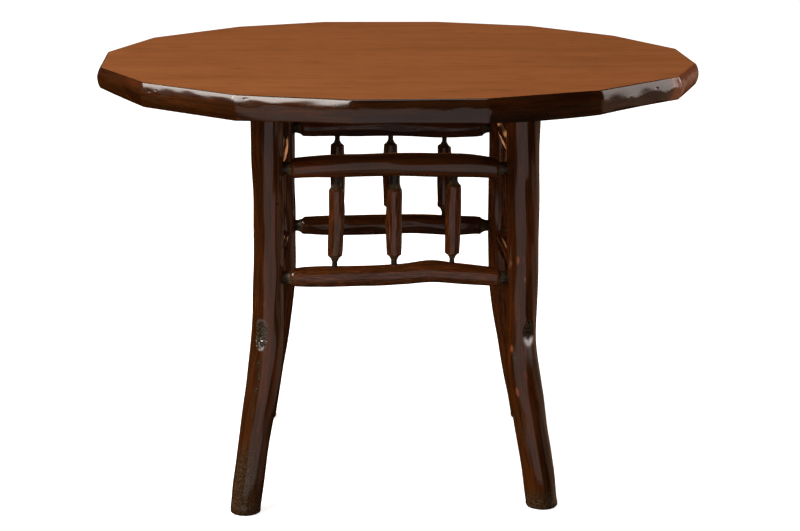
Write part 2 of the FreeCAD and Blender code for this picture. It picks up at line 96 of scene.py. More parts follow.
class PoleSizes(bpy.types.PropertyGroup):
    """Relief of the poles with their bark on."""
    swell: length("Swell", "Height of the long swells along a pole", 0.45 * mm)
    flute: length("Flute", "Height of the shallow flutes that run along the bark", 0.28 * mm)
    facet: length("Knife facet", "Depth of the flats left by the knife on a bare neck", 0.45 * mm)
    ragged: length("Ragged edge", "How far the edge of the bark wanders at a neck", 1.2 * mm)
    foot_round: length("Foot rounding", "Rounding of the edge of a foot", 5.0 * mm)


class RimSizes(bpy.types.PropertyGroup):
    """Relief of the pole slabs round the top."""
    wave: length("Wave", "Height of the waves left on a slab's face", 0.75 * mm)
    edge_round: length("Edge rounding", "Rounding of a slab's upper and lower edge", 2.6 * mm)
    joint_round: length("Joint rounding", "How far from a mitre a slab starts to draw in", 5.0 * mm)
    joint_depth: length("Joint depth", "How much a slab draws in at its mitres", 0.6 * mm)
    nail_mark: length("Nail mark", "Depth of the dimple over a set nail", 0.4 * mm)


class BoardSizes(bpy.types.PropertyGroup):
    """Edges of the sawn boards."""
    ease: length("Eased edge", "Width of the softened lower edges of the planks", 1.2 * mm)
    cleat_ease: length("Cleat edge", "Width of the softened edges of the cleats", 1.6 * mm)


class Finishes(bpy.types.PropertyGroup):
    """Stains of the table."""
    top_stain: colour("Top stain", "Main colour of the lacquered boards", "#925730")
    bark_stain: colour("Bark stain", "Main colour of the bark", "#492306")
    bark_dark: colour("Dark bark", "Colour of the furrows in the bark", "#210c02")
    bark_warm: colour("Warm bark", "Colour of the rubbed, reddish bark", "#652a0b")
    bare_wood: colour("Bare necks", "Colour of the whittled necks", "#5a4428")
    rim_stain: colour("Rim stain", "Main colour of the slabs round the top", "#3c1c05")
    rim_dark: colour("Dark rim", "Colour of the dark streaks of the slabs", "#1d0a02")
    rim_warm: colour("Warm rim", "Colour of the rubbed places of the slabs", "#572408")


class StageSizes(bpy.types.PropertyGroup):
    """Floor and light."""
    floor_reach: length("Floor", "Half the width of the floor", 14.0)
    exposure: bpy.props.FloatProperty(name="Light", description="Strength of all the lights",
                                      default=1.0, min=0.0)


# Nodes of a material


def add(tree, kind, settings=None, links=None, out=0):
    """Add a node with its properties, input values and incoming links, and give one output."""
    made = tree.nodes.new(kind)
    for key, value in (settings or {}).items():
        if isinstance(key, str) and hasattr(made, key):
            setattr(made, key, value)
        else:
            made.inputs[key].default_value = value
    for key, socket in (links or {}).items():
        tree.links.new(socket, made.inputs[key])
    return made.outputs[out] if len(made.outputs) else made


def new_material(name):
    """A material with nothing in it yet."""
    material = bpy.data.materials.new(name)
    material.use_nodes = True
    material.node_tree.nodes.clear()
    return material, material.node_tree


def wood_layers(tree, source, layers):
    """Noise drawn out along the grain, for each layer's mark width, length, detail and place."""
    sockets = []
    for width, long, detail, place in layers:
        scale = (1 / width, 1 / width, 1 / long)
        spot = (place, place * 0.7, place * 1.3)
        moved = add(tree, "ShaderNodeMapping", {"Location": spot, "Scale": scale},
                    {"Vector": source})
        sockets.append(add(tree, "ShaderNodeTexNoise",
                           {"Scale": 1.0, "Detail": detail, "Roughness": 0.6}, {"Vector": moved}))
    return sockets


def painted(tree, base, coats):
    """Colours laid over a base: each where its layer lies between two values, up to a share."""
    for layer, low, high, most, value in coats:
        share = add(tree, "ShaderNodeMapRange", {1: low, 2: high, 4: most}, {0: layer})
        settings, links = {"data_type": "RGBA", 7: value}, {0: share}
        (links if isinstance(base, bpy.types.NodeSocket) else settings)[6] = base
        base = add(tree, "ShaderNodeMix", settings, links, 2)
    return base


def bark_material(name, stain, dark, warm, gloss, varnish):
    """Hickory bark under dark stain and lacquer.

    The eye sees long soft streaks of brown, near-black furrows, a few rubbed reddish places and
    rough olive scars, under a smooth gloss. Painted shade darkens pits, grooves, the ends by the
    joints and the shaded pieces, painted light brightens some lit slabs and pieces, and painted
    glints with pale worn wood mark the feet of some knots and scars.
    """
    material, tree = new_material(name)
    source = add(tree, "ShaderNodeAttribute", {"attribute_name": "grain"}, out=1)
    masks = [add(tree, "ShaderNodeAttribute", {"attribute_name": key}, out=2)
             for key in ("scar", "painted_shade_and_tone", "rub_and_light", "worn_and_glint")]
    is_scar, is_painted_shade_and_tone, is_rubbed_and_lit, is_worn_and_glint = masks
    broad, streak, fine, spots, specks = wood_layers(tree, source, (
        (24 * mm, 190 * mm, 2.0, 3.1), (3.6 * mm, 80 * mm, 4.0, 11.7), (1.2 * mm, 26 * mm, 3.0, 23.9),
        (11 * mm, 42 * mm, 3.0, 41.3), (2.2 * mm, 2.8 * mm, 3.0, 57.1)))

    scarred = painted(tree, linear("#33281a"), ((specks, 0.50, 0.60, 0.9, linear("#1a1109")),
                                                (specks, 0.48, 0.38, 0.8, linear("#5d5038"))))
    # Warm rubbed colour: real rubbing, and painted light on the right side's pieces and on lit slabs
    rubbing_and_light = add(tree, "ShaderNodeMath", {"operation": "MULTIPLY_ADD", 1: 0.9},
                  {0: fine, 2: is_rubbed_and_lit})
    base = painted(tree, stain, (
        (broad, 0.46, 0.68, 0.65, dark), (broad, 0.46, 0.30, 0.45, warm),
        (streak, 0.46, 0.66, 0.70, dark), (spots, 0.64, 0.76, 0.75, warm),
        (spots, 0.40, 0.28, 0.70, linear("#2e2410")), (fine, 0.50, 0.70, 0.35, dark),
        (rubbing_and_light, 0.62, 1.1, 0.9, linear("#a45a32"))))
    base = add(tree, "ShaderNodeMix", {"data_type": "RGBA"}, {0: is_scar, 6: base, 7: scarred}, 2)
    # Painted shade, near black, in pits, grooves, by the joints and on shaded pieces; then painted
    # glints with pale worn wood, near white
    base = painted(tree, base, ((is_painted_shade_and_tone, 0.0, 1.0, 1.0, linear("#0b0502")),
                                (is_worn_and_glint, 0.0, 1.0, 1.0, linear("#f6e9e6"))))

    relief = add(tree, "ShaderNodeBump", {"Strength": 0.22, "Distance": 0.4 * mm}, {"Height": streak})
    relief = add(tree, "ShaderNodeBump", {"Strength": 0.10, "Distance": 0.2 * mm},
                 {"Height": fine, "Normal": relief})
    shader = add(tree, "ShaderNodeBsdfPrincipled",
                 {"Roughness": gloss, "Specular IOR Level": 0.03, "Coat Weight": 1.0,
                  "Coat Roughness": varnish, "Coat IOR": 1.6},
                 {"Base Color": base, "Normal": relief})
    add(tree, "ShaderNodeOutputMaterial", {}, {"Surface": shader})
    return material


def neck_material(name, bare):
    """Hickory whittled down to its pale wood and stained over.

    The eye sees a dull olive brown with darker grain, nearly black by the leg where painted
    shade stands for the joint's shadow, and soft pale patches where a flat left by the knife
    catches the light.
    """
    material, tree = new_material(name)
    source = add(tree, "ShaderNodeAttribute", {"attribute_name": "grain"}, out=1)
    is_painted_shade_and_tone = add(tree, "ShaderNodeAttribute", {"attribute_name": "painted_shade_and_tone"}, out=2)
    streak, blotch = wood_layers(tree, source, ((2.2 * mm, 18 * mm, 4.0, 7.7),
                                                (9 * mm, 9 * mm, 2.0, 19.1)))
    # The last coat is painted shade, near black, by the leg
    base = painted(tree, bare, (
        (streak, 0.40, 0.64, 0.80, linear("#1c150a")), (streak, 0.42, 0.30, 0.40, linear("#8a8468")),
        (blotch, 0.52, 0.66, 0.60, linear("#241a0c")), (is_painted_shade_and_tone, 0.0, 0.8, 0.9, linear("#080502"))))
    relief = add(tree, "ShaderNodeBump", {"Strength": 0.5, "Distance": 0.3 * mm}, {"Height": streak})
    shader = add(tree, "ShaderNodeBsdfPrincipled", {"Roughness": 0.4, "Specular IOR Level": 0.3},
                 {"Base Color": base, "Normal": relief})
    add(tree, "ShaderNodeOutputMaterial", {}, {"Surface": shader})
    return material


def board_material(name, stain, contrast, gloss, coat):
    """Stained, lacquered boards, planed and joined edge to edge.

    The eye sees an even orange brown with faint grain along the boards, soft darker bands and a
    few short dark flecks, under a satin lacquer.
    """
    material, tree = new_material(name)
    place = add(tree, "ShaderNodeTexCoord", out=3)
    source = add(tree, "ShaderNodeMapping", {"Rotation": (0, math.radians(90), 0)}, {"Vector": place})
    sway, = wood_layers(tree, source, ((140 * mm, 420 * mm, 1.0, 61.3),))
    sway = add(tree, "ShaderNodeMath", {"operation": "MULTIPLY", 1: 90 * mm}, {0: sway})
    shift = add(tree, "ShaderNodeAttribute", {"attribute_name": "grain_shift"}, out=2)
    sway = add(tree, "ShaderNodeCombineXYZ", {}, {1: sway, 2: shift})
    source = add(tree, "ShaderNodeVectorMath", {"operation": "ADD"}, {0: source, 1: sway})
    band, grain, fleck, cloud = wood_layers(tree, source, (
        (46 * mm, 520 * mm, 2.0, 5.3), (5 * mm, 150 * mm, 4.0, 17.9), (9 * mm, 62 * mm, 3.0, 29.3),
        (90 * mm, 160 * mm, 3.0, 43.9)))
    deep = tuple(value * share for value, share in zip(stain, (0.62, 0.55, 0.48, 1.0)))
    pale = tuple(min(1.0, value * share) for value, share in zip(stain, (1.14, 1.16, 1.18, 1.0)))
    base = painted(tree, stain, (
        (band, 0.50, 0.72, contrast * 0.7, deep), (band, 0.50, 0.30, contrast, pale),
        (cloud, 0.52, 0.72, contrast * 0.6, deep), (grain, 0.50, 0.74, contrast, deep),
        (grain, 0.48, 0.30, contrast * 0.7, pale), (fleck, 0.55, 0.70, contrast * 1.6, deep)))

    relief = add(tree, "ShaderNodeBump", {"Strength": 0.05, "Distance": 0.1 * mm}, {"Height": grain})
    shader = add(tree, "ShaderNodeBsdfPrincipled",
                 {"Roughness": gloss, "Specular IOR Level": 0.02, "Coat Weight": coat,
                  "Coat Roughness": 0.2},
                 {"Base Color": base, "Normal": relief})
    add(tree, "ShaderNodeOutputMaterial", {}, {"Surface": shader})
    return material


def steel_material(name):
    """Plain steel fasteners, darkened by age: a dull grey brown with worn bright specks."""
    material, tree = new_material(name)
    place = add(tree, "ShaderNodeTexCoord", out=3)
    speck, = wood_layers(tree, place, ((1.5 * mm, 1.5 * mm, 3.0, 2.3),))
    base = painted(tree, linear("#4a423b"), ((speck, 0.4, 0.7, 1.0, linear("#7d7770")),))
    rough = add(tree, "ShaderNodeMapRange", {1: 0.3, 2: 0.7, 3: 0.35, 4: 0.6}, {0: speck})
    shader = add(tree, "ShaderNodeBsdfPrincipled", {"Metallic": 1.0},
                 {"Base Color": base, "Roughness": rough})
    add(tree, "ShaderNodeOutputMaterial", {}, {"Surface": shader})
    return material


def floor_material(name):
    """Pale studio paper, which runs out to plain white round the table."""
    material, tree = new_material(name)
    place = add(tree, "ShaderNodeTexCoord", out=3)
    away = add(tree, "ShaderNodeVectorMath", {"operation": "LENGTH"}, {0: place}, 1)
    glow = add(tree, "ShaderNodeMapRange", {1: 0.3, 2: 1.1, 3: 0.80, 4: 1.0}, {0: away})
    shader = add(tree, "ShaderNodeBsdfPrincipled",
                 {"Roughness": 0.9, "Specular IOR Level": 0.0, "Base Color": (0.9, 0.9, 0.9, 1),
                  "Emission Color": (1, 1, 1, 1)}, {"Emission Strength": glow})
    add(tree, "ShaderNodeOutputMaterial", {}, {"Surface": shader})
    return material


# Measuring the frame


def edge_points(name):
    """Points of a node's mesh, and the pairs of points that its edges join."""
    mesh = nodes[name].data
    points = numpy.empty(len(mesh.vertices) * 3)
    mesh.vertices.foreach_get("co", points)
    pairs = numpy.empty(len(mesh.edges) * 2, int)
    mesh.edges.foreach_get("vertices", pairs)
    return points.reshape(-1, 3), pairs.reshape(-1, 2)


def fit_circle(flat):
    """Centre and radius of a cut through a pole, whatever holes reach into it."""
    kept = flat
    for tolerance in (5 * mm, 2 * mm, 0.8 * mm, 0.3 * mm):
        terms = numpy.column_stack((2 * kept, numpy.ones(len(kept))))
        sides = (kept ** 2).sum(axis=1)
        across, up, rest = numpy.linalg.lstsq(terms, sides, rcond=None)[0]
        radius = math.sqrt(rest + across ** 2 + up ** 2)
        reach = numpy.hypot(flat[:, 0] - across, flat[:, 1] - up)
        kept = flat[reach > radius - tolerance]
    return across, up, radius


class PoleLine:
    """Middle line and radius of a pole, read from cuts across its node."""

    def __init__(self, name, axis, spacing):
        points, pairs = edge_points(name)
        self.axis = Vector(axis).normalized()
        side = self.axis.orthogonal().normalized()
        if abs(self.axis.z) > 0.9:
            side = Vector((1, 0, 0))
        self.across = (side - self.axis * side.dot(self.axis)).normalized()
        self.up = self.axis.cross(self.across)
        local = points @ numpy.array([self.across, self.up, self.axis]).T
        self.start = local[:, 2].min()
        self.finish = local[:, 2].max()
        count = round((self.finish - self.start) / spacing)
        self.reach = numpy.linspace(self.start, self.finish, count)[1:-1]
        rows = []
        for place in self.reach:
            gap = local[pairs, 2] - place
            crossed = gap[:, 0] * gap[:, 1] < 0
            near, far = local[pairs[crossed, 0]], local[pairs[crossed, 1]]
            part = gap[crossed, 0] / (gap[crossed, 0] - gap[crossed, 1])
            rows.append(fit_circle((near + (far - near) * part[:, None])[:, :2]))
        self.middle = numpy.array(rows)

    def at(self, reach, column):
        """Middle line or radius at places along the pole: column 0 across, 1 up, 2 radius."""
        return numpy.interp(reach, self.reach, self.middle[:, column])

    def places(self, angle, reach, radius):
        """Points at angles round the line, places along it and a distance from it."""
        across = self.at(reach, 0) + numpy.cos(angle) * radius
        up = self.at(reach, 1) + numpy.sin(angle) * radius
        frame_axes = numpy.array([self.across, self.up, self.axis])
        return numpy.column_stack((across, up, reach)) @ frame_axes


def pole_axis(name):
    """Direction between the two ends of a pole."""
    points = edge_points(name)[0]
    low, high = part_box(name)
    along = max(range(3), key=lambda index: high[index] - low[index])
    near = points[points[:, along] < low[along] + 0.5 * mm].mean(axis=0)
    far = points[points[:, along] > high[along] - 0.5 * mm].mean(axis=0)
    return Vector(far - near).normalized()


# Relief


def ripple(seed, count, turns, rates, angle, reach):
    """Smooth relief of about one unit, made of waves that run round and along a pole.

    Turns is the range of whole waves round it, and rates the range of waves in a metre.
    """
    draw = random.Random(seed)
    total = numpy.zeros(len(angle))
    for index in range(count):
        turn = draw.randint(*turns)
        rate = draw.uniform(*rates) * draw.choice((-1, 1))
        total += numpy.sin(turn * angle + full_turn * rate * reach + draw.uniform(0, full_turn))
    return total / math.sqrt(count)


def smooth_step(low, high, value):
    """A soft rise from nothing at one value to one at the other, which may be the lower."""
    share = numpy.clip((value - low) / (high - low), 0, 1)
    return share * share * (3 - 2 * share)


def turn_gap(angle, place):
    """Angle from a place, between minus and plus half a turn."""
    return (angle - place + math.pi) % full_turn - math.pi


class Mark:
    """A knot, scar, pit, ridge, patch, rubbed or faded place in the bark of a leg.

    Facing is the way it looks, where 0 degrees is the front and 90 degrees the right. The last
    value is how strongly its foot is painted pale, with painted glints and pale worn wood. Pits,
    grooves and rough dips carry painted shade.
    """

    def __init__(self, kind, height, facing, width, tall, depth, worn_and_glint=0.35):
        self.kind = kind
        self.height = height
        self.angle = math.radians(facing - 90)
        self.width = width / 2
        self.tall = tall / 2
        self.depth = depth
        self.worn_and_glint = worn_and_glint

    def shape(self, angle, reach, radius):
        """Relief of the mark, and how far each of its colours, painted shade and glints among them,
        covers the bark.
        """
        side = turn_gap(angle, self.angle) * radius / self.width
        rise = (reach - self.height) / self.tall
        return getattr(self, self.kind)(side, rise)

    def pit(self, side, rise):
        # Painted shade fills the pit
        inside = 1 - smooth_step(0.6, 1.1, numpy.hypot(side, rise))
        return -self.depth * inside, {"painted_shade_and_tone": inside}

    def ridge(self, side, rise):
        inside = numpy.exp(-side ** 2) * (1 - smooth_step(0.3, 1.0, numpy.abs(rise)))
        return self.depth * inside, {"scar": 0.25 * inside}

    def rubbed(self, side, rise):
        inside = 1 - smooth_step(0.2, 1.1, numpy.hypot(side, rise))
        return -self.depth * inside, {"rub_and_light": 0.45 * inside}

    def patch(self, side, rise):
        inside = 1 - smooth_step(0.3, 1.1, numpy.hypot(side, rise))
        return -self.depth * inside, {"scar": 0.85 * inside, "painted_shade_and_tone": 0.2 * inside}

    def faded(self, side, rise):
        return 0 * side, {"scar": 0.6 * (1 - smooth_step(0.3, 1.0, numpy.hypot(side, rise)))}

    def scar(self, side, rise):
        """A rough patch whose bark is gone, broken towards its foot, with painted shade in its dips,
        and painted glints with pale worn wood towards its foot and on its upper lip.
        """
        side = side / (1 - 0.3 * smooth_step(-0.65, -1.0, rise))
        distance = (numpy.abs(side) ** 2.6 + numpy.abs(rise) ** 2.6) ** (1 / 2.6)
        inside = 1 - smooth_step(0.85, 1.05, distance)
        lip = numpy.exp(-((distance - 1.0) / 0.07) ** 2)
        rough = numpy.zeros(len(side))
        for index in numpy.nonzero(inside)[0]:
            spot = Vector((side[index] * self.width, rise[index] * self.tall, 0)) / (2.2 * mm)
            rough[index] = noise.noise(spot) + 0.6 * noise.noise(spot * 2.1)
        coarse = 0.5 + 0.8 * smooth_step(0.1, -0.7, rise)
        relief = self.depth * (inside * (0.9 * rough * coarse - 0.3) + 0.06 * lip)
        # Painted glints on the rough lower part and on the top of the lip, with the pale worn tip
        specks = numpy.clip(rough * 2.6 - 0.95, 0, 0.9) * smooth_step(0.05, -0.55, rise) * inside
        worn_and_glint = specks + 0.22 * inside * smooth_step(-0.75, -0.95, rise)
        worn_and_glint = worn_and_glint + 0.06 * lip * smooth_step(0.3, 0.9, rise)
        return relief, {"scar": inside, "painted_shade_and_tone": inside * numpy.clip(-rough * 1.3, 0, 0.7),
                        "worn_and_glint": numpy.clip(worn_and_glint, 0, 1) * self.worn_and_glint}

    def knot(self, side, rise):
        """A scooped knot with grooves fanning down to a crescent at its foot, with painted shade in the
        grooves and a painted glint with pale worn wood on the crescent and the tail below.
        """
        distance = numpy.hypot(side, rise)
        inside = 1 - smooth_step(0.8, 1.1, distance)
        scoop = inside * smooth_step(0.9, -0.5, rise)
        fan = side / (0.55 - 0.45 * numpy.clip(rise, -1, 1))
        grooves = sum(numpy.exp(-((fan - place) / 0.13) ** 2) for place in (-0.62, 0.08, 0.66))
        grooves = grooves * inside * smooth_step(-0.9, -0.5, rise)
        lip = numpy.exp(-((distance - 1.1) / 0.18) ** 2)
        tail = numpy.exp(-((side - 0.1) / 0.4) ** 2) * smooth_step(-3.0, -1.3, rise)
        tail = tail * smooth_step(-1.0, -1.25, rise)
        # Painted glint and pale worn wood on the crescent at the foot of the knot
        crescent = numpy.exp(-((distance - 0.8) / 0.23) ** 2) * smooth_step(-0.2, -0.75, rise)
        relief = self.depth * (0.2 * lip + 0.1 * tail - scoop - 0.3 * grooves)
        return relief, {"scar": 0.8 * inside, "painted_shade_and_tone": 0.75 * grooves,
                        "worn_and_glint": numpy.clip(1.3 * crescent + 0.12 * tail, 0, 1) * self.worn_and_glint}


# Wear all round the foot of every leg
foot_wear = Mark("faded", 0, 0, 400 * mm, 90 * mm, 0)
# Marks of each leg: kind, height, facing, width, how tall, depth, and for some how strongly the foot is
# painted pale with glints and worn wood
leg_marks = {
    "leg_front_left": [
        Mark("scar", 0.309, -20, 23 * mm, 54 * mm, 1.5 * mm, 0.9),
        Mark("pit", 0.538, 37, 5 * mm, 3.6 * mm, 1.2 * mm),
        Mark("patch", 0.262, -21, 9 * mm, 20 * mm, 0.12 * mm),
        Mark("patch", 0.240, -14, 7 * mm, 24 * mm, 0.12 * mm),
        Mark("patch", 0.216, -18, 7 * mm, 24 * mm, 0.12 * mm),
        Mark("ridge", 0.190, -22, 4 * mm, 64 * mm, 0.5 * mm),
        Mark("patch", 0.470, 70, 14 * mm, 26 * mm, 0.5 * mm),
        Mark("knot", 0.470, 150, 18 * mm, 34 * mm, 2.6 * mm),
        Mark("scar", 0.150, -120, 16 * mm, 34 * mm, 1.2 * mm),
        Mark("faded", 0.050, -25, 80 * mm, 190 * mm, 0),
    ],
    "leg_front_right": [
        Mark("knot", 0.312, 28, 20 * mm, 46 * mm, 2.6 * mm, 1.0),
        Mark("patch", 0.436, 44, 10 * mm, 16 * mm, 0.3 * mm),
        Mark("rubbed", 0.282, -42, 12 * mm, 20 * mm, 0.2 * mm),
        Mark("patch", 0.268, -30, 12 * mm, 20 * mm, 0.12 * mm),
        Mark("rubbed", 0.208, -31, 9 * mm, 26 * mm, 0.2 * mm),
        Mark("rubbed", 0.441, -20, 9 * mm, 24 * mm, 0.1 * mm),
        Mark("rubbed", 0.434, -50, 7 * mm, 14 * mm, 0.1 * mm),
        Mark("rubbed", 0.408, 6, 6 * mm, 16 * mm, 0.1 * mm),
        Mark("scar", 0.560, -150, 18 * mm, 36 * mm, 1.3 * mm),
        Mark("knot", 0.160, 170, 16 * mm, 32 * mm, 2.4 * mm),
    ],
    "leg_back_left": [
        Mark("knot", 0.330, -160, 17 * mm, 38 * mm, 3.0 * mm),
        Mark("pit", 0.520, -60, 6 * mm, 8 * mm, 1.0 * mm),
        Mark("scar", 0.210, 110, 18 * mm, 38 * mm, 1.3 * mm),
        Mark("rubbed", 0.420, 175, 8 * mm, 30 * mm, 0.2 * mm),
    ],
    "leg_back_right": [
        Mark("scar", 0.300, 165, 20 * mm, 44 * mm, 1.5 * mm),
        Mark("knot", 0.500, 80, 15 * mm, 32 * mm, 2.6 * mm),
        Mark("pit", 0.180, -100, 6 * mm, 9 * mm, 1.0 * mm),
        Mark("ridge", 0.430, 150, 5 * mm, 80 * mm, 0.8 * mm),
    ],
}


# How much painted shade darkens the left leg at the back, and the rails and spindles at the back
back_leg_shade_share = 0.12
back_shade_share = 0.3
# How much painted shade darkens the upper rails along their tops, close under the boards
top_shade_share = 0.6
# How far handling has rubbed the lower rail and the spindles at the front, and how much painted
# light brightens the rails and spindles of the right side with the leg behind them
front_rub_share = 0.20
right_painted_light_share = 0.15


# Building a piece


# Edges that turn by more than this are shaded sharp
sharp_turn = math.radians(48)


def unit_rod(segments, rings):
    """A closed rod cut into rings, with the angle and the ring of each of its points."""
    work = bmesh.new()
    bmesh.ops.create_cone(work, cap_ends=True, cap_tris=False, segments=segments,
                          radius1=1, radius2=1, depth=1)
    sides = [edge for edge in work.edges if abs(edge.verts[0].co.z - edge.verts[1].co.z) > 0.5]
    bmesh.ops.subdivide_edges(work, edges=sides, cuts=rings - 1, use_grid_fill=True)
    work.verts.index_update()
    places = numpy.array([vert.co for vert in work.verts])
    angle = numpy.arctan2(places[:, 1], places[:, 0])
    return work, angle, numpy.rint((places[:, 2] + 0.5) * rings).astype(int)


def finish_piece(work, name, replaced, materials, places=None, attributes=None):
    """Make the mesh's object, with its values on its points, and put it in the frame."""
    if places is not None:
        for vert, place in zip(work.verts, places):
            vert.co = place
    bmesh.ops.recalc_face_normals(work, faces=work.faces)
    mesh = bpy.data.meshes.new(name)
    work.to_mesh(mesh)
    work.free()
    for key, values in (attributes or {}).items():
        kind, field = ("FLOAT_VECTOR", "vector") if values.ndim == 2 else ("FLOAT", "value")
        made = mesh.attributes.new(key, kind, "POINT")
        made.data.foreach_set(field, values.astype(numpy.float32).ravel())
    mesh.shade_smooth()
    mesh.set_sharp_from_angle(angle=sharp_turn)
    for material in materials:
        mesh.materials.append(material)
    piece = bpy.data.objects.new(name, mesh)
    bpy.context.scene.collection.objects.link(piece)
    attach(piece, body)
    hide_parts(replaced)
    return piece


# Points round each kind of piece, and the gaps between its rings
leg_segments = 116
leg_rings = 560
leg_foot_rings = 10
rail_segments = 60
rail_ring_gap = 2.2 * mm
spindle_segments = 48
spindle_ring_gap = 1.5 * mm
slab_segments = 52
slab_ring_gap = 2.2 * mm


def build_leg(name, sizes, material):
    """A bent leg with swells, flutes, knots and a rounded foot."""
    line = PoleLine(name, (0, 0, 1), 9 * mm)
    work, angle, ring = unit_rod(leg_segments, leg_rings)
    foot_top = line.start + sizes.foot_round
    low = numpy.linspace(line.start, foot_top, leg_foot_rings, endpoint=False)
    high = numpy.linspace(foot_top, line.finish, leg_rings + 1 - leg_foot_rings)
    heights = numpy.concatenate((low, high))
    reach = heights[ring]
    radius = line.at(numpy.maximum(reach, foot_top + sizes.foot_round / 2), 2)
    relief = sizes.swell * ripple(name + " swell", 7, (1, 3), (2, 11), angle, reach)
    relief += sizes.flute * ripple(name + " flute", 12, (5, 15), (1, 7), angle, reach)
    masks = {key: 0 * angle for key in ("scar", "painted_shade_and_tone", "rub_and_light", "worn_and_glint")}
    # Painted shade on the left leg at the back, and painted light on the right leg at the back
    masks["painted_shade_and_tone"] += back_leg_shade_share * (name == "leg_back_left")
    masks["rub_and_light"] += right_painted_light_share * (name == "leg_back_right")
    for mark in leg_marks[name] + [foot_wear]:
        change, shares = mark.shape(angle, reach, radius)
        relief += change
        for key, share in shares.items():
            masks[key] = numpy.maximum(masks[key], share)
    rise = numpy.clip((reach - line.start) / sizes.foot_round, 0, 1)
    tuck = sizes.foot_round * (1 - numpy.sqrt(1 - (1 - rise) ** 2))
    places = line.places(angle, reach, radius + relief - tuck)
    grain = grain_places(angle, radius, reach, leg_names.index(name) * 0.37)
    return finish_piece(work, name + "_bark", name, [material], places,
                        {"grain": grain, **masks})


def grain_places(angle, radius, reach, shift):
    """Where each point lies in the wood's own grain, moved along so that no two poles match."""
    return numpy.column_stack((numpy.cos(angle) * radius + shift, numpy.sin(angle) * radius, reach))


def bark_ends(line):
    """Where a pole's bark starts and ends: the first place each way that stops swelling."""
    radius = line.middle[:, 2]
    step = 12
    growth = 0.06
    swelling = radius[step:] - radius[:-step] > growth * radius[step:]
    shrinking = radius[:-step] - radius[step:] > growth * radius[:-step]
    half = len(swelling) // 2
    first = numpy.nonzero(swelling[:half])[0].max() + 1
    last = numpy.nonzero(shrinking[half:])[0].min() + half + step - 1
    return line.reach[first], line.reach[last]


# How much of the bark's relief the smoother poles of the two sides have
side_relief_share = 0.5


def build_turned_pole(name, segments, ring_gap, sizes, materials, order):
    """A rail or spindle: bark along its body, whittled necks and tenons at its ends."""
    line = PoleLine(name, pole_axis(name), 1.0 * mm)
    rings = round((line.finish - line.start) / ring_gap)
    work, angle, ring = unit_rod(segments, rings)
    reach = line.start + (line.finish - line.start) * ring / rings
    bark_low, bark_high = bark_ends(line)

    at_low = reach < (bark_low + bark_high) / 2
    inset = numpy.where(at_low, reach - bark_low, bark_high - reach)
    wander = ripple(name + " edge", 5, (1, 4), (0, 0.1), angle + at_low * 2.0, reach)
    inset = inset + wander * sizes.ragged * numpy.exp(-(inset / (9 * mm)) ** 2)
    radius = line.at(numpy.where(at_low, bark_low + inset, bark_high - inset), 2)
    bare = 1 - smooth_step(-1.4 * mm, 0.2 * mm, inset)

    cuts = 6 + order % 3
    flats = numpy.abs(((angle * cuts / full_turn + wander * 0.15) % 1) - 0.5) * 2
    relief = sizes.swell * 0.7 * ripple(name + " swell", 6, (1, 3), (3, 14), angle, reach)
    relief += sizes.flute * ripple(name + " flute", 10, (4, 11), (2, 9), angle, reach)
    relief = relief * (1 - bare) * smooth_step(0, 12 * mm, inset)
    if "_left_" in name or "_right_" in name:
        relief *= side_relief_share
    relief += sizes.facet * (flats ** 2 - 0.55) * bare
    places = line.places(angle, reach, radius + relief)
    # Painted shade by the leg at the end of each neck, where the joint's shadow falls, then on the
    # pieces at the back and along the tops of the upper rails
    painted_shade_and_tone = smooth_step(-5 * mm, -13 * mm, inset) * 0.9 * (0.6 + 0.4 * flats)
    for face in work.faces:
        face.material_index = int(min(bare[vert.index] for vert in face.verts) > 0.5)
    shade = numpy.maximum(painted_shade_and_tone * bare, back_shade_share * ("_back_" in name))
    across = places - line.places(angle + math.pi, reach, radius)
    upward = across[:, 2] / numpy.linalg.norm(across, axis=1)
    shade = numpy.maximum(shade, top_shade_share * ("upper" in name) * smooth_step(0.3, 0.9, upward))
    # Rubbing on the front pieces below the top rail, and painted light on the right side's pieces
    rub_and_light = front_rub_share * ("_front_" in name and "upper" not in name) + 0 * angle
    rub_and_light += right_painted_light_share * ("_right_" in name)
    grain = grain_places(angle, radius, reach, order * 0.29)
    return finish_piece(work, name + "_bark", name, materials, places,
                        {"grain": grain, "painted_shade_and_tone": shade, "rub_and_light": rub_and_light})


# Rim


# How far a slab's flat upper edge stands out from the boards
rim_lip = 1.8 * mm


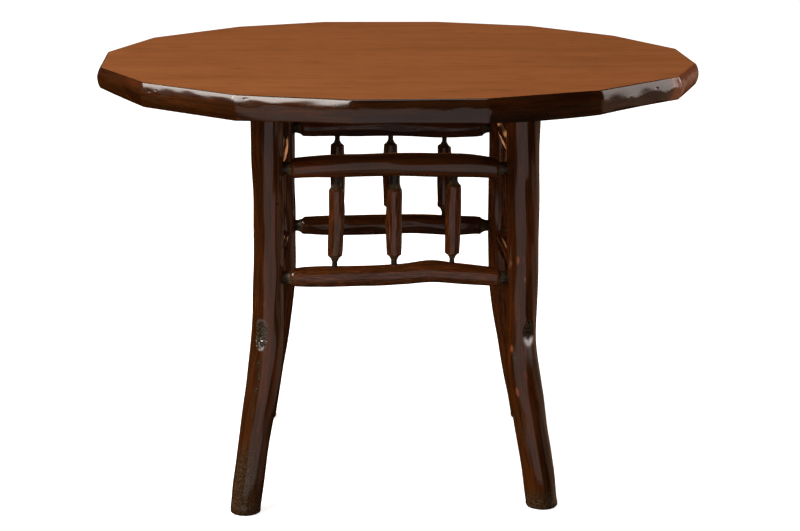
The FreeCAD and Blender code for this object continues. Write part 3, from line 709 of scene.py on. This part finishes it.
class RimSide:
    """Inner edge of a rim slab on the board, read from its node."""

    def __init__(self, name):
        points = edge_points(name)[0]
        self.top = points[:, 2].max()
        self.bottom = points[:, 2].min()
        upper = points[points[:, 2] > self.top - 0.01 * mm][:, :2]
        gaps = numpy.linalg.norm(upper[:, None] - upper[None], axis=2)
        first, second = numpy.unravel_index(gaps.argmax(), gaps.shape)
        along = upper[second] - upper[first]
        along /= numpy.linalg.norm(along)
        out = numpy.array((along[1], -along[0]))
        if out @ upper.mean(axis=0) < 0:
            out, along = -out, -along
        away = upper @ out
        inner = upper[away < away.min() + 0.2 * mm]
        order = (inner @ along).argsort()
        self.low = inner[order[0]]
        self.high = inner[order[-1]]
        self.out = out
        self.length = numpy.linalg.norm(self.high - self.low)
        self.along = (self.high - self.low) / self.length
        self.swell = (points[:, :2] @ out).max() - self.low @ out
        local = (points[:, :2] - self.low) @ numpy.column_stack((self.along, self.out))
        inside = (local[:, 1] < 0.2 * mm) & (points[:, 2] < self.bottom + 8 * mm)
        shares, heights = local[inside, 0] / self.length, points[inside, 2]
        self.ends = [heights[numpy.abs(shares - end) < 0.01].min() for end in (0, 1)]
        inside = (shares > 0.1) & (shares < 0.9)
        shares, heights = shares[inside], heights[inside]
        chord = self.ends[0] + (self.ends[1] - self.ends[0]) * shares
        rise = ((heights - chord) / (4 * shares * (1 - shares))).min()
        # A straight edge has no points between its ends, so the lowest are those of the nail holes
        self.rise = rise if rise < 1.2 * mm else 0

    def height_at(self, share):
        """How far down the slab reaches below the top, at a share of its inner edge."""
        low, high = self.ends
        return self.top - low - (high - low) * share - self.rise * 4 * share * (1 - share)


def rim_section(segments, sizes, height):
    """Outline of a slab: how far out the lip and the bulge reach, and the share of its height."""
    inner = 8
    outer = segments - inner
    drop = numpy.linspace(0, 1, outer)
    drop = drop - numpy.sin(full_turn * drop) / full_turn * 0.55
    rounding = sizes.edge_round / height
    near = numpy.minimum(drop, 1 - drop)
    lip = numpy.sqrt(1 - (1 - numpy.clip(near / rounding, 0, 1)) ** 2)
    bulge = 4 * drop * (1 - drop)
    back = numpy.linspace(1, 0, inner + 2)[1:-1]
    return (numpy.concatenate((lip, back * 0)), numpy.concatenate((bulge, back * 0)),
            numpy.concatenate((drop, back)))


# Marks on the rim: slab, share along it, share down it, and their width, height and depth
rim_pits = [
    (1, 0.10, 0.30, 7 * mm, 2.4 * mm, 0.8 * mm), (1, 0.16, 0.22, 4 * mm, 1.6 * mm, 0.7 * mm),
    (1, 0.64, 0.34, 5 * mm, 2.0 * mm, 0.4 * mm), (2, 0.10, 0.12, 5 * mm, 2.2 * mm, 0.9 * mm),
    (2, 0.41, 0.48, 3 * mm, 2.4 * mm, 0.8 * mm), (5, 0.68, 0.30, 8 * mm, 2.6 * mm, 0.7 * mm),
    (5, 0.36, 0.66, 18 * mm, 2.0 * mm, 0.5 * mm), (9, 0.55, 0.40, 9 * mm, 3.0 * mm, 0.9 * mm),
    (12, 0.35, 0.52, 7 * mm, 3.4 * mm, 0.9 * mm), (14, 0.7, 0.36, 10 * mm, 2.6 * mm, 0.8 * mm),
]
nail_place_shares = [0.26, 0.34, 0.71, 0.80]
nail_drop_share = 0.51
grooved_slab = 5
groove_place_shares = [0.925, 0.945, 0.965]

# Grooves cut across one slab near its end: their width and depth
groove_width = 1.3 * mm
groove_depth = 0.8 * mm
# The deepest that a mark goes below a slab's lip
deepest_mark = 0.8 * mm
# How far from a mitre a slab starts to lean towards it, and its colour towards the next one's
mitre_reach = 26 * mm
light_and_tone_reach = 45 * mm

# How far each slab's wood is towards the rubbed colour, or below zero towards the dark colour: on
# the slabs at the front this is mostly painted light and painted shade, after how brightly each
# face is lit, and on the others a tone that differs from slab to slab
slab_light_and_tone_shares = [0.0, -0.15, 0.0, -0.45, -0.36, 0.10, 1.0, 0.4,
                    0.1, -0.2, 0.3, 0.1, -0.3, 0.2, 0.1, -0.1]


def build_rim_slab(index, sides, sizes, material):
    """One slab of the rim: rounded outside, waved by the knife, drawn in at its mitres."""
    side = sides[index]
    name = rim_names[index]
    rings = round(side.length / slab_ring_gap)
    work, angle, ring = unit_rod(slab_segments, rings)
    share = ring / rings
    reach = share * side.length
    height = side.height_at(share)
    point = numpy.rint(angle / full_turn * slab_segments).astype(int) % slab_segments
    section = rim_section(slab_segments, sizes, side.top - side.bottom)
    lip_share, bulge_share, drop = [values[point] for values in section]
    outer = lip_share > 0.5

    leans = []
    for before, after in ((sides[index - 1], side), (side, sides[(index + 1) % len(sides)])):
        middle = before.out + after.out
        leans.append(middle / (middle @ after.out) @ side.along)
    gap = numpy.minimum(reach, side.length - reach)
    lean = numpy.where(share < 0.5, *leans) * (1 - smooth_step(0, mitre_reach, gap))

    spin = drop * math.pi
    swell = side.swell - rim_lip
    wave = ripple(name, 8, (0, 2), (3, 14), spin, reach)
    knife = ripple(name + " knife", 7, (2, 5), (8, 26), spin, reach)
    bulge = bulge_share * (swell * 0.93 + sizes.wave * (wave * 0.75 + knife * 0.25 - 1))
    bulge = numpy.minimum(bulge, swell)
    drawn = 1 - numpy.sqrt(1 - (1 - numpy.clip(gap / sizes.joint_round, 0, 1)) ** 2)
    bulge -= sizes.joint_depth * drawn * numpy.minimum(1, bulge_share * 3)
    # Painted shade in the pits and the nail dimples, darker the deeper each is
    painted_shade_and_tone = numpy.zeros(len(angle))
    marks = [mark[1:] for mark in rim_pits if mark[0] == index]
    marks += [(place, nail_drop_share, 3.6 * mm, 3.6 * mm, sizes.nail_mark)
              for place in nail_place_shares]
    for place, down, wide, tall, depth in marks:
        distance = numpy.hypot((share - place) * side.length / (wide / 2),
                               (drop - down) * height / (tall / 2))
        inside = (1 - smooth_step(0.5, 1.3, distance)) * outer
        bulge -= depth * inside
        painted_shade_and_tone = numpy.maximum(painted_shade_and_tone, inside * depth / (1.2 * mm))
    if index == grooved_slab:
        for place in groove_place_shares:
            groove = numpy.exp(-((share - place) * side.length / groove_width) ** 2) * outer
            bulge -= groove_depth * groove
    out = rim_lip * lip_share + numpy.maximum(bulge, -deepest_mark * outer)

    foot = side.low + (side.high - side.low) * share[:, None]
    flat = foot + side.out * out[:, None] + side.along * (lean * out)[:, None]
    places = numpy.column_stack((flat, side.top - drop * height))
    grain = numpy.column_stack((drop * 45 * mm, out, reach + index * 0.43))
    # Painted light and painted shade of each slab, with its tone, blended towards its neighbours by the
    # mitres
    own, before, after = [slab_light_and_tone_shares[(index + step) % len(sides)] for step in (0, -1, 1)]
    shared = numpy.where(share < 0.5, own + before, own + after) / 2
    light_and_tone = own + (shared - own) * (1 - smooth_step(0, light_and_tone_reach, gap))
    return finish_piece(work, name + "_wood", name, [material], places,
                        {"grain": grain, "painted_shade_and_tone": numpy.maximum(painted_shade_and_tone, -light_and_tone),
                         "rub_and_light": numpy.maximum(light_and_tone, 0)})


# Boards


def eased_copy(name, new_name, ease, pick, material, shift):
    """A merged copy of a board's node with the picked edges eased and its own grain."""
    work = bmesh.new()
    work.from_mesh(nodes[name].data)
    bmesh.ops.remove_doubles(work, verts=work.verts, dist=0.01 * mm)
    bmesh.ops.dissolve_limit(work, angle_limit=math.radians(1), verts=work.verts, edges=work.edges)
    edges = [edge for edge in work.edges if edge.is_manifold and pick(edge)]
    bmesh.ops.bevel(work, geom=edges, offset=ease, offset_type="OFFSET", affect="EDGES",
                    segments=2, profile=0.5, material=-1)
    return finish_piece(work, new_name, name, [material], None,
                        {"grain_shift": numpy.full(len(work.verts), shift)})


def is_long_corner(edge):
    """Whether an edge is a sharp one of the board, not the rim of a bore."""
    return edge.calc_face_angle(0) > math.radians(40) and edge.calc_length() > 12 * mm


# Roughness of the stained wood and of the varnish over it
rim_roughness = (0.30, 0.17)
pole_roughness = (0.38, 0.13)
# Contrast of the grain, roughness of the wood and strength of the lacquer
top_finish = (0.55, 0.45, 0.08)
cleat_finish = (0.8, 0.55, 0.1)
cleat_stain = "#4a2f1a"


class OperatorBase:
    """Shared words of the operators."""
    bl_options = {"REGISTER"}


class HICKORY_OT_top(OperatorBase, bpy.types.Operator):
    """Build the planks of the top."""
    bl_idname = "hickory.top"
    bl_label = "Planks"

    def execute(self, context):
        ease = context.scene.hickory_board.ease
        stain = tuple(context.scene.hickory_finish.top_stain)
        material = board_material("stained_lacquered_hickory_boards", stain, *top_finish)
        for order, name in enumerate(plank_names):
            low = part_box(name)[0].z

            def is_lower(edge):
                height = max(vert.co.z for vert in edge.verts)
                return height < low + 0.1 * mm and is_long_corner(edge)

            eased_copy(name, name + "_board", ease, is_lower, material, order * 1.3)
        return {"FINISHED"}


class HICKORY_OT_rim(OperatorBase, bpy.types.Operator):
    """Build the pole slabs round the top."""
    bl_idname = "hickory.rim"
    bl_label = "Rim slabs"

    def execute(self, context):
        finish = context.scene.hickory_finish
        material = bark_material("lacquered_hickory_slab", tuple(finish.rim_stain),
                                 tuple(finish.rim_dark), tuple(finish.rim_warm),
                                 *rim_roughness)
        sides = [RimSide(name) for name in rim_names]
        for index in range(len(sides)):
            build_rim_slab(index, sides, context.scene.hickory_rim, material)
        return {"FINISHED"}


def pole_material(context, name):
    """The finish of the poles, from the stains that the user has chosen."""
    finish = context.scene.hickory_finish
    return bark_material(name, tuple(finish.bark_stain), tuple(finish.bark_dark),
                         tuple(finish.bark_warm), *pole_roughness)


class HICKORY_OT_legs(OperatorBase, bpy.types.Operator):
    """Build the four bent legs."""
    bl_idname = "hickory.legs"
    bl_label = "Legs"

    def execute(self, context):
        material = pole_material(context, "stained_hickory_bark_legs")
        for name in leg_names:
            build_leg(name, context.scene.hickory_pole, material)
        return {"FINISHED"}


class HICKORY_OT_rails(OperatorBase, bpy.types.Operator):
    """Build the eight rails."""
    bl_idname = "hickory.rails"
    bl_label = "Rails"

    def execute(self, context):
        materials = [pole_material(context, "stained_hickory_bark_rails"),
                     neck_material("whittled_rail_necks", context.scene.hickory_finish.bare_wood[:])]
        for order, name in enumerate(rail_names):
            build_turned_pole(name, rail_segments, rail_ring_gap,
                              context.scene.hickory_pole, materials, order)
        return {"FINISHED"}


class HICKORY_OT_spindles(OperatorBase, bpy.types.Operator):
    """Build the twelve spindles."""
    bl_idname = "hickory.spindles"
    bl_label = "Spindles"

    def execute(self, context):
        materials = [pole_material(context, "stained_hickory_bark_spindles"),
                     neck_material("whittled_spindle_necks", context.scene.hickory_finish.bare_wood[:])]
        for order, name in enumerate(spindle_names):
            build_turned_pole(name, spindle_segments, spindle_ring_gap,
                              context.scene.hickory_pole, materials, order + 20)
        return {"FINISHED"}


class HICKORY_OT_cleats(OperatorBase, bpy.types.Operator):
    """Build the cleats under the top and finish the fasteners."""
    bl_idname = "hickory.cleats"
    bl_label = "Cleats and fasteners"

    def execute(self, context):
        material = board_material("stained_sawn_cleat", linear(cleat_stain), *cleat_finish)
        ease = context.scene.hickory_board.cleat_ease
        for order, name in enumerate(cleat_names):
            eased_copy(name, name + "_bar", ease, is_long_corner, material, order * 0.7)
        steel = steel_material("aged_fastener_steel")
        for name in fastener_names:
            nodes[name].data.materials.clear()
            nodes[name].data.materials.append(steel)
        return {"FINISHED"}


# Camera: the table seen from the front, a little above it
camera_place = (0.0034, -3.730, 1.253)
camera_tilt = 13.22
camera_lens = 94.5
camera_sensor = 36

# Soft lights: which way and how high each stands from what it is aimed at, in degrees from
# the front, how far off, its width and height, its brightness, its colour, and whether it
# lights surfaces, shows in their gloss, or both
studio_lights = [
    ("key_left", -57, 36, 5.0, (0, 0, 0.74), 3.8, 4.2, 7.3, "#ffffff", "surface"),
    ("window_front", -57, 42, 5.0, (0, 0, 0.74), 3.8, 3.4, 9.5, "#fffaf4", "gloss"),
    ("window_left", -94, 44, 4.0, (-0.3, -0.3, 0.74), 3.2, 3.5, 6.4, "#fffaf4", "gloss"),
    ("fill_right", 112, 16, 4.5, (0, 0, 0.74), 3.0, 3.2, 2.3, "#fff2ec", "both"),
    ("ceiling", 0, 90, 2.2, (0, -0.3, 0.76), 1.5, 1.5, 1.5, "#ffffff", "gloss"),
    ("overhead", 0, 90, 3.4, (0.9, 0.2, 0.76), 3.0, 3.0, 0.95, "#ffffff", "surface"),
    ("low_front", 0, -90, 0.02, (-0.15, -2.3, 0.04), 2.7, 2.2, 0.75, "#fff2ee", "surface"),
    ("front_card", 0, 0, 0.55, (-0.04, -0.25, 0.39), 1.0, 0.78, 0.44, "#fff0ee", "gloss"),
    ("floor_card", 0, -90, 0.02, (-0.04, -0.62, 0.04), 1.0, 0.36, 0.12, "#ffecd8", "gloss"),
    ("low_right", 108, -12, 3.0, (0, 0, 0.5), 4.8, 1.6, 0.24, "#ffd4b4", "both"),
    ("low_left", -100, 2, 3.5, (0, 0, 0.45), 3.0, 1.0, 6.0, "#ffe8d8", "surface"),
    ("low_back", 180, 0, 2.7, (0, 0, 0.47), 0.7, 0.8, 0.8, "#ffb078", "both"),
]


class HICKORY_OT_stage(OperatorBase, bpy.types.Operator):
    """Build the floor, the lights and the camera."""
    bl_idname = "hickory.stage"
    bl_label = "Floor, light and camera"

    def execute(self, context):
        scene = context.scene
        stage = scene.hickory_stage
        scene.view_settings.view_transform = "Standard"

        work = bmesh.new()
        bmesh.ops.create_grid(work, x_segments=1, y_segments=1, size=stage.floor_reach)
        mesh = bpy.data.meshes.new("floor")
        work.to_mesh(mesh)
        work.free()
        mesh.materials.append(floor_material("pale_studio_paper"))
        floor = bpy.data.objects.new("floor", mesh)
        scene.collection.objects.link(floor)
        floor.visible_glossy = False

        world = bpy.data.worlds.new("studio")
        world.use_nodes = True
        tree = world.node_tree
        tree.nodes.clear()
        from_camera = add(tree, "ShaderNodeLightPath")
        from_matt = from_camera.node.outputs["Is Diffuse Ray"]
        sky = add(tree, "ShaderNodeBackground", {"Color": (1, 1, 1, 1), "Strength": 0.0})
        way = add(tree, "ShaderNodeSeparateXYZ", {}, {0: add(tree, "ShaderNodeTexCoord")}, 2)
        glow = add(tree, "ShaderNodeMapRange", {1: -0.8, 2: 0.10, 3: 0.80, 4: 0.07}, {0: way})
        soft = add(tree, "ShaderNodeBackground", {"Color": (1, 1, 1, 1)}, {"Strength": glow})
        white = add(tree, "ShaderNodeBackground", {"Color": (1, 1, 1, 1), "Strength": 1.0})
        for share, shader in ((from_matt, soft), (from_camera, white)):
            sky = add(tree, "ShaderNodeMixShader", {}, {0: share, 1: sky, 2: shader})
        add(tree, "ShaderNodeOutputWorld", {}, {"Surface": sky})
        scene.world = world
        floor.visible_diffuse = False

        for name, facing, rise, distance, target, wide, tall, glow, tint, kind in studio_lights:
            lamp = bpy.data.lights.new(name, "AREA")
            lamp.shape = "RECTANGLE"
            lamp.size = wide
            lamp.size_y = tall
            lamp.color = linear(tint)[:3]
            lamp.energy = math.pi * wide * tall * glow * stage.exposure
            holder = bpy.data.objects.new(name, lamp)
            facing, rise = math.radians(facing), math.radians(rise)
            away = Vector((math.sin(facing) * math.cos(rise), -math.cos(facing) * math.cos(rise),
                           math.sin(rise)))
            holder.location = Vector(target) + away * distance
            holder.rotation_euler = away.to_track_quat("Z", "Y").to_euler()
            holder.visible_camera = False
            holder.visible_diffuse = kind != "gloss"
            holder.visible_glossy = kind != "surface"
            scene.collection.objects.link(holder)

        camera = bpy.data.cameras.new("camera")
        camera.sensor_width = camera_sensor
        camera.lens = camera_lens
        holder = bpy.data.objects.new("camera", camera)
        holder.location = camera_place
        holder.rotation_euler = (math.radians(90 - camera_tilt), 0, 0)
        scene.collection.objects.link(holder)
        scene.camera = holder
        return {"FINISHED"}


operators = [HICKORY_OT_top, HICKORY_OT_rim, HICKORY_OT_legs, HICKORY_OT_rails,
             HICKORY_OT_spindles, HICKORY_OT_cleats, HICKORY_OT_stage]
groups = {"hickory_pole": PoleSizes, "hickory_rim": RimSizes, "hickory_board": BoardSizes,
          "hickory_finish": Finishes, "hickory_stage": StageSizes}


class HICKORY_PT_panel(bpy.types.Panel):
    """Sizes, stains and builders of the table."""
    bl_idname = "HICKORY_PT_panel"
    bl_label = "Hickory table"
    bl_space_type = "VIEW_3D"
    bl_region_type = "UI"
    bl_category = "Hickory"

    def draw(self, context):
        for key, group in groups.items():
            box = self.layout.box()
            for field in group.__annotations__:
                box.prop(getattr(context.scene, key), field)
        for operator in operators:
            self.layout.operator(operator.bl_idname)


def register():
    for group in groups.values():
        bpy.utils.register_class(group)
    for key, group in groups.items():
        setattr(bpy.types.Scene, key, bpy.props.PointerProperty(type=group))
    for operator in operators:
        bpy.utils.register_class(operator)
    bpy.utils.register_class(HICKORY_PT_panel)


def unregister():
    bpy.utils.unregister_class(HICKORY_PT_panel)
    for operator in reversed(operators):
        bpy.utils.unregister_class(operator)
    for key in groups:
        delattr(bpy.types.Scene, key)
    for group in groups.values():
        bpy.utils.unregister_class(group)


def main():
    register()
    bpy.ops.hickory.top()
    bpy.ops.hickory.rim()
    bpy.ops.hickory.legs()
    bpy.ops.hickory.rails()
    bpy.ops.hickory.spindles()
    bpy.ops.hickory.cleats()
    bpy.ops.hickory.stage()


if __name__ == "__main__":
    main()
